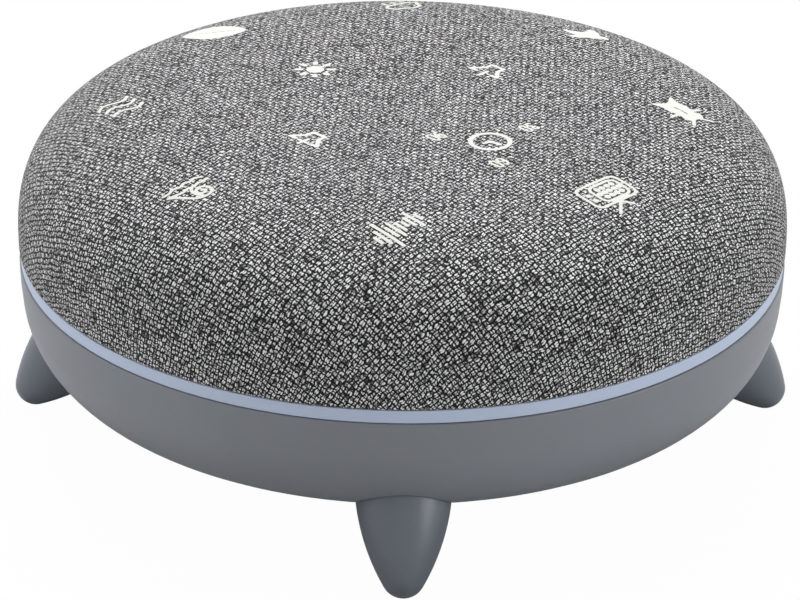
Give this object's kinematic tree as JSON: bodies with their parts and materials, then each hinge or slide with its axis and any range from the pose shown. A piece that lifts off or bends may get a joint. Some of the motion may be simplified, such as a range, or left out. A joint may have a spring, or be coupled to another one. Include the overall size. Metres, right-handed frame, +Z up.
{
  "type": "white noise sound machine",
  "caption": "Round tabletop sound machine with a fabric touch top, a frosted light ring, a grey plastic bowl on splayed legs and a down-facing speaker behind a grille.",
  "frame": {"origin": "on the table, under the middle of the round body", "axes": "+Z up through the middle of the dome, +Y to the set's rear (the icons' upright direction), +X to its right"},
  "size_m": [0.15, 0.15, 0.0664],
  "materials": {
    "heather_fabric": "heathered plain weave",
    "inner_plastic": "moulded",
    "frosted_ring": "frosted translucent",
    "grey_plastic": "satin, lightly textured",
    "grille_plastic": "satin",
    "zinc_steel": "zinc plated",
    "basket_steel": "stamped and painted",
    "ferrite": "ground ferrite",
    "coil_copper": "enamelled winding",
    "cone_paper": "pressed pulp",
    "edge_rubber": "soft",
    "spider_cloth": "resin-dipped cloth",
    "black_foam": "closed-cell foam",
    "board_green": "solder mask",
    "black_plastic": "moulded",
    "capacitor_can": "plain can",
    "white_plastic": "moulded",
    "foam_grey": "conductive foam",
    "led_white": "clear epoxy over phosphor",
    "nickel_pin": "nickel plated",
    "wire_black": "insulation",
    "phenolic": "laminate"
  },
  "bodies": {
    "housing": {"fabric_cover": "heather_fabric", "top_dome": "inner_plastic", "light_ring": "frosted_ring", "lower_shell": "grey_plastic", "leg_rear_right": "grey_plastic", "leg_rear_left": "grey_plastic", "leg_front_left": "grey_plastic", "leg_front_right": "grey_plastic", "leg_screws": "zinc_steel", "housing_screws": "zinc_steel", "speaker_grille": "grille_plastic", "speaker_basket": "basket_steel", "speaker_top_plate": "zinc_steel", "speaker_magnet": "ferrite", "speaker_yoke": "zinc_steel", "surround": "edge_rubber", "spider": "spider_cloth", "speaker_gasket": "black_foam", "speaker_screws": "zinc_steel", "speaker_terminals": "phenolic", "main_board": "board_green", "main_board_screws": "zinc_steel", "main_chips": "black_plastic", "capacitors": "capacitor_can", "wire_headers": "white_plastic", "touch_board": "board_green", "touch_board_screws": "zinc_steel", "touch_pads": "foam_grey", "touch_chip": "black_plastic", "ribbon_headers": "white_plastic", "touch_ribbon": "white_plastic", "led_board": "board_green", "leds": "led_white", "power_jack": "black_plastic", "jack_pin": "nickel_pin", "speaker_leads": "wire_black", "jack_leads": "wire_black", "led_leads": "wire_black"},
    "cone": {"voice_coil": "coil_copper", "speaker_cone": "cone_paper", "dust_cap": "cone_paper"}
  },
  "joints": [
    {"name": "cone_travel", "type": "slide", "parent": "housing", "child": "cone", "axis": [0, 0, 1], "range_m": [-0.0012, 0.0012], "stiffness_N_per_m": 900, "deforming": ["surround", "spider"]}
  ]
}
